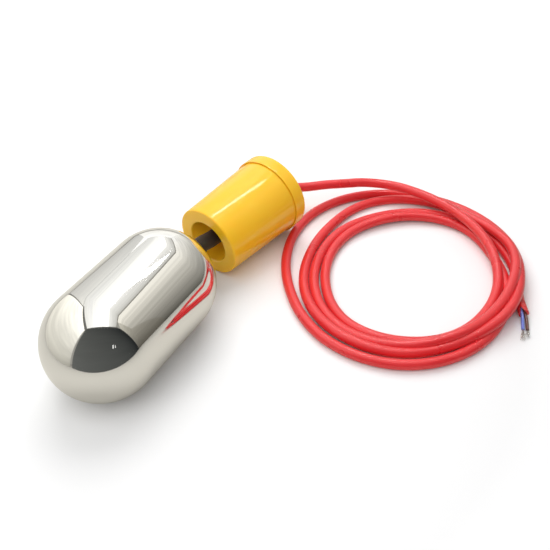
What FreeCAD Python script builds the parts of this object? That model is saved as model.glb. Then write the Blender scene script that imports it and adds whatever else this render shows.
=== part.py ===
"""Float level switch on a silicone cable, as a parametric FreeCAD document (millimetres, +Z up).

A polished stainless capsule float holds a ball-operated microswitch. Its two-core cable leaves the
tail through a gland and a rubber boot, runs through a tapered plastic counterweight that slides and
turns on it, and lies in four loose turns up to its stripped end. The float lies along X with its tail
towards +X, and the counterweight lies on its two rims behind it. The origin is on the table, under
the middle of the float and counterweight.
"""
import FreeCAD, Part

import math
import os

import Sketcher

Vector = FreeCAD.Vector

SIZES = (
    # Float shell, in two drawn halves
    ("float_radius", 35.0), ("float_barrel", 56.7), ("shell_wall", 0.8),
    ("lap_length", 5.0), ("lap_gap", 0.03),
    ("tail_x", -21.0), ("tail_y", 1.6),
    # Neck boss welded in the tail, with the gland inside
    ("neck_radius", 8.0), ("neck_proud", 0.3), ("boss_radius", 11.0), ("boss_length", 15.3),
    ("flange_radius", 18.0), ("flange_thick", 3.0), ("seat_gap", 0.05),
    ("thread_radius", 8.0), ("thread_depth", 11.0), ("thread_gap", 0.1),
    ("collar_thick", 2.9), ("washer_thick", 1.1), ("washer_gap", 0.05),
    ("nut_across_flats", 18.0), ("nut_head", 5.0),
    # Cable, cores and boot
    ("cable_radius", 3.5), ("cable_gap", 0.05), ("cable_inside", 6.5),
    ("boot_radius", 5.7), ("boot_gap", 0.05), ("boot_straight", 8.5), ("boot_bend", 4.0), ("boot_lip", 0.8),
    ("core_radius", 1.1), ("strand_radius", 0.45), ("core_side", 1.3), ("core_lead", 6.0),
    ("core_back", 9.5), ("core_bow", 3.0),
    # Switch carrier, measured from the boss flange
    ("disc_radius", 20.0), ("disc_thick", 3.0), ("disc_hole", 12.0),
    ("disc_screw_circle", 15.5), ("screw_radius", 1.5), ("screw_gap", 0.1),
    ("screw_head_radius", 2.8), ("screw_head", 1.8), ("disc_screw_grip", 2.6),
    ("cheek_gap", 0.5), ("cheek_thick", 3.0), ("floor_thick", 3.9), ("cheek_top", 24.0),
    ("cheek_step", 8.0), ("end_wall", 2.9), ("end_wall_top", 5.0),
    # Ball, lever and microswitch
    ("ball_radius", 8.0), ("ball_height", -4.0), ("ball_travel", 10.0), ("rest_gap", 0.3),
    ("track_gap", 0.1), ("buffer_radius", 6.0), ("buffer_thick", 1.4),
    ("pivot_x", -22.0), ("pivot_z", 16.0), ("lever_thick", 3.0), ("lever_half_width", 4.0),
    ("lever_tail", 2.0), ("press_arm", 4.3), ("press_tip", 2.0), ("hub_radius", 2.7),
    ("pin_radius", 1.5), ("pin_gap", 0.05), ("hub_gap", 0.3),
    ("switch_length", 27.8), ("switch_height", 15.9), ("switch_width", 10.3), ("cover_thick", 1.5),
    ("switch_gap", 1.0), ("switch_bottom", 9.0), ("case_wall", 1.4),
    ("plunger_radius", 1.2), ("plunger_gap", 0.05), ("plunger_inside", 5.0),
    ("terminal_thick", 0.6), ("terminal_width", 4.8), ("terminal_room", 2.4), ("terminal_pitch", 9.5),
    ("terminal_first", 5.0), ("terminal_root", 3.0), ("terminal_gap", 0.02),
    ("switch_screw_in", 7.0), ("switch_screw_low", 3.2), ("switch_screw_high", 12.6),
    # Counterweight, measured along the cable from its narrow face
    ("weight_gap", 22.9), ("weight_side", 3.6), ("weight_yaw", -10.6),
    ("narrow_radius", 25.45), ("wide_radius", 28.2), ("weight_length", 61.6), ("weight_wall", 2.6),
    ("mouth_radius", 15.7), ("mouth_floor_radius", 13.2), ("mouth_depth", 22.0), ("mouth_cone", 4.5),
    ("front_wall", 3.5), ("tube_radius", 6.0), ("bore_radius", 3.9),
    ("rim_radius", 29.3), ("rim_length", 10.1), ("edge_round", 0.8), ("spigot_length", 8.0),
    ("fit_gap", 0.1), ("grip_radius", 7.0), ("grip_head_radius", 9.0), ("grip_head", 3.1),
    ("grip_step", 4.0), ("grip_proud", 0.8), ("cap_boss_radius", 12.0),
    # Outer shape of the coil, and the slit end of the jacket
    ("coil_height", 14.0), ("coil_shoulder", 10.0), ("slit_width", 1.6), ("slit_length", 9.0),
)

# The cable's free route past the counterweight, in mm
LEAD_POINTS = ((125.5, -13.7, 28.8), (135.0, -21.2, 24.4), (146.5, -32.0, 20.6),
               (157.5, -45.5, 18.3), (165.4, -59.0, 16.3), (170.6, -71.5, 16.0))
TAIL_POINTS = ((119.5, -198.6, 3.5), (110.5, -200.2, 3.5), (101.5, -200.6, 3.5))
BLUE_POINTS = ((101.5, -199.2, 3.5), (91.5, -201.0, 2.2), (81.5, -204.4, 1.2))
BROWN_POINTS = ((101.5, -201.9, 3.5), (93.5, -204.6, 2.2), (85.5, -208.4, 1.2))
BLUE_TIP_POINTS = ((81.5, -204.4, 1.2), (77.5, -205.8, 0.9), (74.5, -204.4, 0.9))
BROWN_TIP_POINTS = ((85.5, -208.4, 1.2), (81.6, -210.3, 0.9), (78.4, -210.2, 0.9))

# The coil lies about this centre; its edges are given in directions one eighth of a turn apart
COIL_CENTRE = (103.9, -120.4)
COIL_OUTER = (88.0, 96.5, 91.5, 91.5, 95.5, 86.3, 78.0, 87.0)
COIL_INNER = (62.0, 54.5, 53.5, 59.5, 66.5, 57.5, 54.0, 56.5)


class Size:
    """A size worked out from the sheet: its value in mm, and the expression that gives it."""

    def __init__(self, value, text):
        self.value = value
        self.text = text

    def joined(self, other, sign, value):
        return Size(value, f"({self.text} {sign} {size(other).text})")

    def __add__(self, other):
        return self.joined(other, "+", self.value + size(other).value)

    def __sub__(self, other):
        return self.joined(other, "-", self.value - size(other).value)

    def __mul__(self, other):
        return self.joined(other, "*", self.value * size(other).value)

    def __truediv__(self, other):
        return self.joined(other, "/", self.value / size(other).value)

    def __neg__(self):
        return Size(-self.value, f"(0 - {self.text})")

    def root(self):
        return Size(math.sqrt(self.value), f"sqrt({self.text})")


def size(number):
    """A plain number as a Size; a Size stays as it is."""
    return number if isinstance(number, Size) else Size(float(number), repr(float(number)))


class Named:
    """The sheet's sizes by name, such as s.float_radius."""


def make_sheet(doc):
    """Write every driving size to the sheet, and give them back by name."""
    sheet = doc.addObject("Spreadsheet::Sheet", "Sizes")
    named = Named()
    for row, (name, number) in enumerate(SIZES, start=1):
        sheet.set(f"A{row}", name)
        sheet.set(f"B{row}", str(number))
        sheet.setAlias(f"B{row}", name)
        setattr(named, name, Size(number, f"Sizes.{name}"))
    doc.recompute()
    return named


doc = FreeCAD.newDocument("float_level_switch")
s = make_sheet(doc)
parts = []


# ---------------------------------------------------------------- drawing helpers

def keep(item, placement=None):
    """Count a finished object as a sub-part, and put it in its place."""
    if placement is not None:
        item.Placement = placement
    parts.append(item)
    return item


def body(label):
    """A new PartDesign body; its label names its file."""
    made = doc.addObject("PartDesign::Body", label)
    made.Label = label
    return made


def bind(item, prop, length):
    """Tie a property to the sheet."""
    item.setExpression(prop, size(length).text)


def sketch_on(owner, plane="XY_Plane", offset=None):
    """A sketch on one of the body's origin planes, moved along the axis that crosses it."""
    sketch = owner.newObject("Sketcher::SketchObject", f"{owner.Label}_sketch")
    face = [item for item in owner.Origin.OriginFeatures if item.Role == plane][0]
    sketch.AttachmentSupport = [(face, "")]
    sketch.MapMode = "FlatFace"
    if offset is not None:
        bind(sketch, "AttachmentOffset.Base.z", size(offset) * facing(sketch))
    return sketch


def facing(sketch):
    """1 if the sketch faces along the axis that crosses its plane, -1 if against it."""
    return -1 if sketch.AttachmentSupport[0][0].Role == "XZ_Plane" else 1


def hold_point(sketch, geometry, end, point):
    """Fix one end of a line or arc at its place."""
    for kind, axis, length in (("DistanceX", -2, point[0]), ("DistanceY", -1, point[1])):
        if size(length).text == "0.0":
            sketch.addConstraint(Sketcher.Constraint("PointOnObject", geometry, end, axis))
        else:
            held = Sketcher.Constraint(kind, -1, 1, geometry, end, size(length).value)
            index = sketch.addConstraint(held)
            sketch.setExpression(f"Constraints[{index}]", size(length).text)


def flat(point):
    """A sketch point as a vector."""
    return Vector(size(point[0]).value, size(point[1]).value, 0)


def draw_arc(sketch, start, end, centre, radius):
    """An arc from start to end about a centre, the short way, and which of its ends comes first."""
    a, b, middle = flat(start), flat(end), flat(centre)
    turn = (a - middle).cross(b - middle).z
    first, last = (a, b) if turn > 0 else (b, a)
    angles = [math.atan2(p.y - middle.y, p.x - middle.x) for p in (first, last)]
    circle = Part.Circle(middle, Vector(0, 0, 1), (a - middle).Length)
    drawn = sketch.addGeometry(Part.ArcOfCircle(circle, angles[0], angles[1]))
    index = sketch.addConstraint(Sketcher.Constraint("Radius", drawn, size(radius).value))
    sketch.setExpression(f"Constraints[{index}]", size(radius).text)
    return (drawn, 1, 2) if turn > 0 else (drawn, 2, 1)


def outline(sketch, points, arcs=None):
    """Draw a closed outline; arcs gives the centre and radius of the edges that aren't straight."""
    arcs = arcs or {}
    drawn = []
    for index, start in enumerate(points):
        end = points[(index + 1) % len(points)]
        if index in arcs:
            drawn.append(draw_arc(sketch, start, end, *arcs[index]))
        else:
            drawn.append((sketch.addGeometry(Part.LineSegment(flat(start), flat(end))), 1, 2))
    for index, (edge, first, _) in enumerate(drawn):
        before, _, last = drawn[index - 1]
        sketch.addConstraint(Sketcher.Constraint("Coincident", before, last, edge, first))
        hold_point(sketch, edge, first, points[index])


def circle(sketch, centre, radius):
    """Draw a circle whose centre and radius follow the sheet."""
    ring = Part.Circle(flat(centre), Vector(0, 0, 1), size(radius).value)
    drawn = sketch.addGeometry(ring)
    index = sketch.addConstraint(Sketcher.Constraint("Radius", drawn, size(radius).value))
    sketch.setExpression(f"Constraints[{index}]", size(radius).text)
    hold_point(sketch, drawn, 3, centre)


def rectangle(sketch, left, right, bottom, top):
    """Draw a rectangle by its four sides."""
    outline(sketch, [(left, bottom), (right, bottom), (right, top), (left, top)])


def revolve(owner, points, arcs=None):
    """Turn an outline of (along, radius) points about the X axis."""
    sketch = sketch_on(owner)
    outline(sketch, points, arcs)
    turned = owner.newObject("PartDesign::Revolution", f"{owner.Label}_turned")
    turned.Profile = sketch
    turned.ReferenceAxis = (sketch, ["H_Axis"])
    turned.Angle = 360
    return turned


def extrude(owner, sketch, length, way=0):
    """Pad a sketch along its axis (way 1), against it (way -1) or half each way (way 0)."""
    made = owner.newObject("PartDesign::Pad", f"{owner.Label}_pad")
    made.Profile = sketch
    bind(made, "Length", length)
    made.SideType = "Symmetric" if way == 0 else "One side"
    made.Reversed = way * facing(sketch) < 0
    return made


def cut(owner, sketch, length, way=0):
    """Pocket a sketch, the ways as in extrude, and stop if it took nothing away."""
    doc.recompute()
    before = owner.Shape.Volume
    made = owner.newObject("PartDesign::Pocket", f"{owner.Label}_cut")
    made.Profile = sketch
    bind(made, "Length", length)
    made.SideType = "Symmetric" if way == 0 else "One side"
    made.Reversed = way * facing(sketch) > 0
    doc.recompute()
    if owner.Shape.Volume > before - 0.001:
        raise RuntimeError(f"a pocket of {owner.Label} takes nothing away")
    return made


def round_rims(owner, feature, radius, rims):
    """Fillet the circular edges that lie at the given (along, radius) places."""
    doc.recompute()
    names = []
    for number, edge in enumerate(feature.Shape.Edges, start=1):
        if not isinstance(edge.Curve, Part.Circle):
            continue
        found = (edge.Curve.Center.x, edge.Curve.Radius)
        if any(math.dist(found, (size(a).value, size(r).value)) < 0.01 for a, r in rims):
            names.append(f"Edge{number}")
    if len(names) != len(rims):
        raise RuntimeError(f"{owner.Label} has {len(names)} of {len(rims)} rims to round")
    made = owner.newObject("PartDesign::Fillet", f"{owner.Label}_round")
    made.Base = (feature, names)
    bind(made, "Radius", radius)
    return made


def solid_feature(label, shape):
    """A sub-part whose shape is set directly, where no feature fits."""
    made = doc.addObject("Part::Feature", label)
    made.Label = label
    made.Shape = shape
    return made


def rounded_path(points, name):
    """Straight runs joined by tangent arcs, as a list of edges; prints the bends' radii."""
    points = [Vector(*point) for point in points]
    edges, start, radii = [], points[0], []
    for before, corner, after in zip(points, points[1:], points[2:]):
        come, leave = before - corner, after - corner
        reach = 0.45 * min(come.Length, leave.Length)
        half_turn = (math.pi - come.getAngle(leave)) / 2
        radius = reach / math.tan(half_turn)
        come.normalize()
        leave.normalize()
        entry, leaving = corner + come * reach, corner + leave * reach
        middle = corner + (come + leave).normalize() * (radius / math.cos(half_turn) - radius)
        edges.append(Part.LineSegment(start, entry).toShape())
        edges.append(Part.Arc(entry, middle, leaving).toShape())
        radii.append(round(radius, 1))
        start = leaving
    edges.append(Part.LineSegment(start, points[-1]).toShape())
    print(f"{name}: length {sum(edge.Length for edge in edges):.1f}, bends", radii)
    return edges


def pipe(edges, radius, name):
    """A round cord along a route, tested against its section times its length."""
    path = Part.Wire(edges)
    first = edges[0]
    ring = Part.Circle(first.valueAt(first.FirstParameter), first.tangentAt(first.FirstParameter), radius)
    made = path.makePipeShell([Part.Wire(ring.toShape())], True, False)
    expected = math.pi * radius ** 2 * path.Length
    if abs(made.Volume / expected - 1) > 0.01:
        raise RuntimeError(f"{name} has volume {made.Volume:.1f}, not {expected:.1f}")
    return made


def tube(points, radius, name):
    """A round cord through the points, its corners rounded."""
    return pipe(rounded_path(points, name), radius, name)


# ---------------------------------------------------------------- places

float_place = FreeCAD.Placement(Vector(s.tail_x.value, s.tail_y.value, s.float_radius.value),
                                FreeCAD.Rotation())
float_inside = s.float_radius - s.shell_wall
shoulder_x = (float_inside * float_inside - s.boss_radius * s.boss_radius).root() - s.seat_gap
flange_x = shoulder_x - s.boss_length
switch_place = float_place * FreeCAD.Placement(Vector(flange_x.value, 0, 0), FreeCAD.Rotation())

# The counterweight lies on its two rims, so its axis rises by the difference of their radii
weight_tilt = math.degrees(math.atan2((s.rim_radius - s.narrow_radius).value, s.weight_length.value))
weight_turn = FreeCAD.Rotation(Vector(0, 0, 1), s.weight_yaw.value) * FreeCAD.Rotation(
    Vector(0, 1, 0), -weight_tilt)
weight_base = Vector((s.tail_x + s.float_radius + s.weight_gap).value,
                     (s.tail_y + s.weight_side).value,
                     s.narrow_radius.value * math.cos(math.radians(weight_tilt)))
weight_place = FreeCAD.Placement(weight_base, weight_turn)
weight_end = s.weight_length + s.rim_length


def on_cable(distance):
    """The point of the counterweight's axis at a distance from its narrow face."""
    return weight_place.multVec(Vector(size(distance).value, 0, 0))


# ---------------------------------------------------------------- float

def float_nose_shell():
    """The nose half: a deep-drawn cup with a plain rim."""
    made = body("float_nose_shell")
    seam, nose = -s.float_barrel / 2, -s.float_barrel
    points = [(nose - s.float_radius, 0), (nose, s.float_radius), (seam, s.float_radius),
              (seam, float_inside), (nose, float_inside), (nose - float_inside, 0)]
    revolve(made, points, {0: ((nose, 0), s.float_radius), 4: ((nose, 0), float_inside)})
    keep(made, float_place)


def float_tail_shell():
    """The tail half: its rim is joggled into the nose half, and its pole has the neck hole."""
    made = body("float_tail_shell")
    seam = -s.float_barrel / 2
    lap = float_inside - s.lap_gap
    hole_out = (s.float_radius * s.float_radius - s.neck_radius * s.neck_radius).root()
    hole_in = (float_inside * float_inside - s.neck_radius * s.neck_radius).root()
    points = [(seam + s.fit_gap, lap), (seam + s.fit_gap, s.float_radius), (0, s.float_radius),
              (hole_out, s.neck_radius), (hole_in, s.neck_radius), (0, float_inside),
              (seam + s.lap_length, float_inside), (seam + s.lap_length / 2, lap_inside),
              (seam - s.lap_length, lap_inside), (seam - s.lap_length, lap)]
    revolve(made, points, {2: ((0, 0), s.float_radius), 4: ((0, 0), float_inside)})
    keep(made, float_place)


def neck_boss():
    """The turned boss: a neck welded in the shell, a threaded seat and an inner flange."""
    made = body("neck_boss")
    face = s.float_radius + s.neck_proud - flange_x
    boot_hole = s.boot_radius + s.boot_gap
    thick = s.flange_thick
    points = [(0, s.thread_radius), (0, s.flange_radius), (thick, s.flange_radius),
              (thick, s.boss_radius), (s.boss_length, s.boss_radius), (s.boss_length, s.neck_radius),
              (face, s.neck_radius), (face, boot_hole), (s.thread_depth, boot_hole),
              (s.thread_depth, s.thread_radius)]
    revolve(made, points)
    holes = sketch_on(made, "YZ_Plane")
    for place in screw_circle():
        circle(holes, place, s.screw_radius)
    cut(made, holes, thick, way=1)
    keep(made, switch_place)


def screw_circle():
    """Where the three carrier screws stand about the axis."""
    return [(s.disc_screw_circle * math.cos(math.radians(angle)),
             s.disc_screw_circle * math.sin(math.radians(angle))) for angle in (90, 200, 340)]


def clamp_washer():
    """The washer between the boot's collar and the gland nut."""
    made = body("clamp_washer")
    start = s.thread_depth - s.collar_thick - s.washer_gap * 2 - s.washer_thick
    end = start + s.washer_thick
    inner = s.cable_radius + s.cable_gap * 2
    outer = s.thread_radius - s.thread_gap * 2
    revolve(made, [(start, inner), (start, outer), (end, outer), (end, inner)])
    keep(made, switch_place)


def gland_nut():
    """The hollow hex nut that squeezes the collar in the boss."""
    made = body("gland_nut")
    end = s.thread_depth - s.collar_thick - s.washer_thick - s.washer_gap * 3
    outer = s.thread_radius - s.thread_gap
    inner = s.cable_radius + s.cable_gap * 2
    head = sketch_on(made, "YZ_Plane", -s.nut_head)
    corner = s.nut_across_flats / math.sqrt(3)
    outline(head, [(corner * math.cos(math.radians(30 + 60 * k)),
                    corner * math.sin(math.radians(30 + 60 * k))) for k in range(6)])
    circle(head, (0, 0), inner)
    extrude(made, head, s.nut_head, way=1)
    sleeve = sketch_on(made, "YZ_Plane")
    circle(sleeve, (0, 0), outer)
    circle(sleeve, (0, 0), inner)
    extrude(made, sleeve, end, way=1)
    keep(made, switch_place)


# ---------------------------------------------------------------- switch in the float

cheek_inside = s.ball_radius + s.cheek_gap
cheek_outside = cheek_inside + s.cheek_thick
track_top = s.ball_height - s.ball_radius - s.track_gap
floor_bottom = track_top - s.floor_thick
lever_reach = s.pivot_z - s.ball_height
swing = math.atan(s.ball_travel.value / 2 / lever_reach.value)
to_ball = (s.ball_radius + s.lever_thick / 2 + s.rest_gap) / math.cos(swing)
ball_x = s.pivot_x - s.ball_travel / 2 - to_ball
buffer_x = ball_x - s.ball_radius - s.rest_gap
wall_x = buffer_x - s.buffer_thick
carrier_end = wall_x - s.end_wall
press_travel = s.press_arm * math.tan(swing) * 2
to_plunger = (s.lever_thick / 2 + s.rest_gap) / math.cos(swing) + s.plunger_radius / 2 * math.tan(swing)
plunger_tip = s.pivot_x + press_travel / 2 - to_plunger
case_x = s.pivot_x - s.hub_radius - s.switch_gap
case_end = case_x - s.switch_length
case_top = s.switch_bottom + s.switch_height
lap_inside = float_inside - s.lap_gap - s.shell_wall
terminal_top = lap_inside - s.terminal_room
screw_places = [(case_x - s.switch_screw_in, s.switch_bottom + s.switch_screw_low),
                (case_end + s.switch_screw_in, s.switch_bottom + s.switch_screw_high)]
shank_hole = s.screw_radius + s.screw_gap


def switch_carrier():
    """The moulded tray: a screwed disc, a ball track, two cheeks and an end wall."""
    made = body("switch_carrier")
    disc = sketch_on(made, "YZ_Plane", -s.disc_thick)
    circle(disc, (0, 0), s.disc_radius)
    circle(disc, (0, 0), s.disc_hole)
    for place in screw_circle():
        circle(disc, place, shank_hole)
    extrude(made, disc, s.disc_thick, way=1)
    floor = sketch_on(made, "XZ_Plane")
    rectangle(floor, carrier_end, -s.disc_thick, floor_bottom, track_top)
    extrude(made, floor, cheek_outside * 2)
    wall = sketch_on(made, "XZ_Plane")
    rectangle(wall, carrier_end, wall_x, track_top, s.end_wall_top)
    extrude(made, wall, cheek_outside * 2)
    for sign in (-1, 1):
        cheek = sketch_on(made, "XZ_Plane", cheek_inside * sign)
        step = s.pivot_x + s.cheek_step
        outline(cheek, [(case_end, floor_bottom), (-s.disc_thick, floor_bottom),
                        (-s.disc_thick, floor_bottom + s.floor_thick * 2), (step, s.pivot_z - s.cheek_step),
                        (step, s.cheek_top), (case_end, s.cheek_top)])
        extrude(made, cheek, s.cheek_thick, way=sign)
        bosses = sketch_on(made, "XZ_Plane", (s.switch_width / 2 + s.fit_gap) * sign)
        for place in screw_places:
            circle(bosses, place, s.screw_head_radius)
        extrude(made, bosses, cheek_inside - s.switch_width / 2, way=sign)
    for sign, hole in ((-1, s.screw_radius), (1, shank_hole)):
        holes = sketch_on(made, "XZ_Plane")
        for place in screw_places:
            circle(holes, place, hole)
        circle(holes, (s.pivot_x, s.pivot_z), s.pin_radius)
        cut(made, holes, cheek_outside + s.fit_gap, way=sign)
    keep(made, switch_place)


def ball_buffer():
    """The rubber pad that stops the ball at the nose end of its track."""
    made = body("ball_buffer")
    revolve(made, [(wall_x, 0), (wall_x, s.buffer_radius), (buffer_x, s.buffer_radius), (buffer_x, 0)])
    centre = FreeCAD.Placement(Vector(0, 0, s.ball_height.value), FreeCAD.Rotation())
    keep(made, switch_place * centre)


def steel_ball():
    """The ball that rolls along the track."""
    made = doc.addObject("Part::Sphere", "steel_ball")
    bind(made, "Radius", s.ball_radius)
    centre = FreeCAD.Placement(Vector(ball_x.value, 0, s.ball_height.value), FreeCAD.Rotation())
    keep(made, switch_place * centre)


def switch_lever():
    """The lever: a long arm down to the ball, a hub, and a short arm up to the plunger."""
    made = body("switch_lever")
    half = s.lever_thick / 2
    arm = sketch_on(made, "XZ_Plane")
    rectangle(arm, -half, half, -(lever_reach + s.lever_tail), s.press_arm + s.press_tip)
    extrude(made, arm, s.lever_half_width * 2)
    hub = sketch_on(made, "XZ_Plane")
    circle(hub, (0, 0), s.hub_radius)
    extrude(made, hub, (cheek_inside - s.hub_gap) * 2)
    bore = sketch_on(made, "XZ_Plane")
    circle(bore, (0, 0), s.pin_radius + s.pin_gap)
    cut(made, bore, cheek_outside * 2)
    turned = FreeCAD.Rotation(Vector(0, 1, 0), math.degrees(swing))
    pivot = FreeCAD.Placement(Vector(s.pivot_x.value, 0, s.pivot_z.value), turned)
    keep(made, switch_place * pivot)


def lever_pin():
    """The lever's pin, held in both cheeks."""
    made = body("lever_pin")
    rod = sketch_on(made, "XZ_Plane")
    circle(rod, (s.pivot_x, s.pivot_z), s.pin_radius)
    extrude(made, rod, cheek_outside * 2)
    keep(made, switch_place)


def switch_case():
    """The microswitch case, open on the cover's side, with a plunger guide and terminal slots."""
    made = body("switch_case")
    half = s.switch_width / 2
    block = sketch_on(made, "XZ_Plane", -half)
    rectangle(block, case_end, case_x, s.switch_bottom, case_top)
    extrude(made, block, s.switch_width - s.cover_thick, way=1)
    room = sketch_on(made, "XZ_Plane", half - s.cover_thick)
    outline(room, case_room())
    cut(made, room, s.switch_width - s.cover_thick - s.case_wall, way=-1)
    guide = sketch_on(made, "YZ_Plane", case_x)
    circle(guide, (0, s.pivot_z + s.press_arm), s.plunger_radius + s.plunger_gap)
    cut(made, guide, s.plunger_inside + s.fit_gap, way=-1)
    slots = sketch_on(made, "XY_Plane", case_top)
    for x in terminal_places():
        rectangle(slots, x - terminal_slot(s.terminal_thick), x + terminal_slot(s.terminal_thick),
                  -terminal_slot(s.terminal_width), terminal_slot(s.terminal_width))
    cut(made, slots, s.terminal_root, way=-1)
    holes = sketch_on(made, "XZ_Plane")
    for place in screw_places:
        circle(holes, place, shank_hole)
    cut(made, holes, s.switch_width * 2)
    keep(made, switch_place)


def case_room():
    """The outline of the room for the contacts, between the two screw pillars."""
    left = screw_places[1][0] + s.screw_head_radius + s.case_wall
    right = case_x - s.plunger_inside
    top = case_top - s.terminal_root - s.case_wall
    low = screw_places[0][1] + s.screw_head_radius
    return [(left, low), (right, low), (right, top), (left, top)]


def terminal_slot(width):
    """Half of a terminal's slot."""
    return width / 2 + s.terminal_gap


def terminal_places():
    """Where the three terminals stand along the case."""
    return [case_x - s.terminal_first - s.terminal_pitch * k for k in range(3)]


def switch_cover():
    """The cover plate on the side of the microswitch case."""
    made = body("switch_cover")
    plate = sketch_on(made, "XZ_Plane", s.switch_width / 2 - s.cover_thick)
    rectangle(plate, case_end, case_x, s.switch_bottom, case_top)
    for place in screw_places:
        circle(plate, place, shank_hole)
    extrude(made, plate, s.cover_thick, way=1)
    keep(made, switch_place)


def switch_plunger():
    """The plunger that the lever's short arm pushes into the case."""
    made = body("switch_plunger")
    end = case_x - s.plunger_inside + s.rest_gap + press_travel
    dome = s.plunger_radius / 2
    revolve(made, [(end, 0), (end, s.plunger_radius), (plunger_tip - dome, s.plunger_radius),
                   (plunger_tip, s.plunger_radius / 2), (plunger_tip, 0)])
    centre = FreeCAD.Placement(Vector(0, 0, (s.pivot_z + s.press_arm).value), FreeCAD.Rotation())
    keep(made, switch_place * centre)


def terminals():
    """The three solder terminals: common, open and closed."""
    for name, x in zip(("common", "open", "closed"), terminal_places()):
        made = body(f"terminal_{name}")
        blade = sketch_on(made, "XZ_Plane")
        rectangle(blade, x - s.terminal_thick / 2, x + s.terminal_thick / 2,
                  case_top - s.terminal_root, terminal_top)
        extrude(made, blade, s.terminal_width)
        keep(made, switch_place)


def screw(name, place, direction, grip):
    """A cheese-head screw with its head's seat at a place."""
    shank = doc.addObject("Part::Cylinder", f"{name}_shank")
    bind(shank, "Radius", s.screw_radius)
    bind(shank, "Height", grip)
    head = doc.addObject("Part::Cylinder", f"{name}_head")
    bind(head, "Radius", s.screw_head_radius)
    bind(head, "Height", s.screw_head)
    bind(head, "Placement.Base.z", -s.screw_head)
    whole = doc.addObject("Part::Fuse", name)
    whole.Base, whole.Tool = shank, head
    turn = FreeCAD.Rotation(Vector(0, 0, 1), direction)
    whole.Placement = FreeCAD.Placement(place, turn)
    return whole


def screw_group(label, screws):
    """Like screws as one sub-part of separate solids."""
    made = doc.addObject("Part::Compound", label)
    made.Label = label
    made.Links = screws
    keep(made, switch_place)


def carrier_screws():
    """Three screws through the disc into the boss flange."""
    grip = s.disc_thick + s.disc_screw_grip
    screw_group("carrier_screws", [
        screw(f"carrier_screw_{k}", Vector(-s.disc_thick.value, y.value, z.value), Vector(1, 0, 0), grip)
        for k, (y, z) in enumerate(screw_circle())])


def switch_screws():
    """Two screws through both cheeks and the microswitch."""
    screw_group("switch_screws", [
        screw(f"switch_screw_{k}", Vector(x.value, cheek_outside.value, z.value), Vector(0, -1, 0),
              cheek_outside * 2) for k, (x, z) in enumerate(screw_places)])


# ---------------------------------------------------------------- counterweight

def counterweight_shell():
    """The tapered shell: a deep flared mouth at the narrow end, and a tube for the cable."""
    made = body("counterweight_shell")
    inside = s.wide_radius - s.weight_wall
    points = [(0, s.mouth_radius), (0, s.narrow_radius), (s.weight_length, s.wide_radius),
              (s.weight_length, inside), (s.front_wall, s.narrow_radius - s.weight_wall),
              (s.front_wall, s.mouth_radius + s.weight_wall),
              (s.mouth_depth, s.mouth_floor_radius + s.weight_wall), (mouth_back(), s.tube_radius),
              (s.weight_length - s.fit_gap * 5, s.tube_radius),
              (s.weight_length - s.fit_gap * 5, s.bore_radius),
              (s.mouth_depth + s.mouth_cone, s.bore_radius), (s.mouth_depth, s.mouth_floor_radius)]
    turned = revolve(made, points)
    round_rims(made, turned, s.edge_round, [(0, s.narrow_radius), (0, s.mouth_radius)])
    keep(made, weight_place)


def mouth_back():
    """Where the back of the mouth's floor meets the tube."""
    return s.mouth_depth + s.mouth_cone + s.weight_wall


def ballast_slug():
    """The cast-iron ring in the shell, from the mouth's floor to the cap's spigot."""
    made = body("ballast_slug")
    start = mouth_back() + s.fit_gap
    end = s.weight_length - s.spigot_length - s.fit_gap
    slope = (s.wide_radius - s.narrow_radius) / (s.weight_length - s.front_wall)

    def outer(along):
        return s.narrow_radius - s.weight_wall + slope * (along - s.front_wall) - s.fit_gap

    inner, bevel = s.tube_radius + s.fit_gap, s.edge_round
    revolve(made, [(start, inner), (start, outer(start) - bevel), (start + bevel, outer(start + bevel)),
                   (end - bevel, outer(end - bevel)), (end, outer(end) - bevel), (end, inner)])
    keep(made, weight_place)


def counterweight_cap():
    """The flanged cap: a spigot in the shell, and a boss that holds the cable grip."""
    made = body("counterweight_cap")
    start, end = s.weight_length, weight_end
    spigot = s.wide_radius - s.weight_wall - s.fit_gap * 5
    floor = end - s.weight_wall
    head_room = s.grip_head_radius + s.rest_gap
    hole = s.grip_radius + s.cable_gap
    points = [(start, s.rim_radius), (end, s.rim_radius), (end, hole), (start + s.grip_step, hole),
              (start + s.grip_step, head_room), (start + s.fit_gap, head_room),
              (start + s.fit_gap, s.cap_boss_radius), (floor, s.cap_boss_radius),
              (floor, spigot - s.weight_wall), (start - s.spigot_length, spigot - s.weight_wall),
              (start - s.spigot_length, spigot), (start, spigot)]
    turned = revolve(made, points)
    round_rims(made, turned, s.edge_round, [(start, s.rim_radius), (end, s.rim_radius)])
    keep(made, weight_place)


def cable_grip():
    """The rubber grip: it slides on the cable, and the counterweight turns on it."""
    made = body("cable_grip")
    bore = s.cable_radius + s.cable_gap
    head = s.weight_length + s.grip_step - s.rest_gap
    end = weight_end + s.grip_proud
    points = [(head - s.grip_head, bore), (head - s.grip_head, s.grip_head_radius),
              (head, s.grip_head_radius), (head, s.grip_radius), (end, s.grip_radius), (end, bore)]
    revolve(made, points)
    keep(made, weight_place)


# ---------------------------------------------------------------- cable

def run_edges():
    """The cable's route from the microswitch to the back of the counterweight."""
    inside = switch_place.multVec(Vector(-s.cable_inside.value, 0, 0))
    bend = float_place.multVec(Vector((s.float_radius + s.boot_straight).value, 0, 0))
    return rounded_path([inside, bend, on_cable(s.boot_bend), on_cable(weight_end)], "cable_run")


def cable_run():
    """The cable through the gland, the boot and the counterweight."""
    keep(solid_feature("cable_run", pipe(run_edges(), s.cable_radius.value, "cable_run")))


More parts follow.
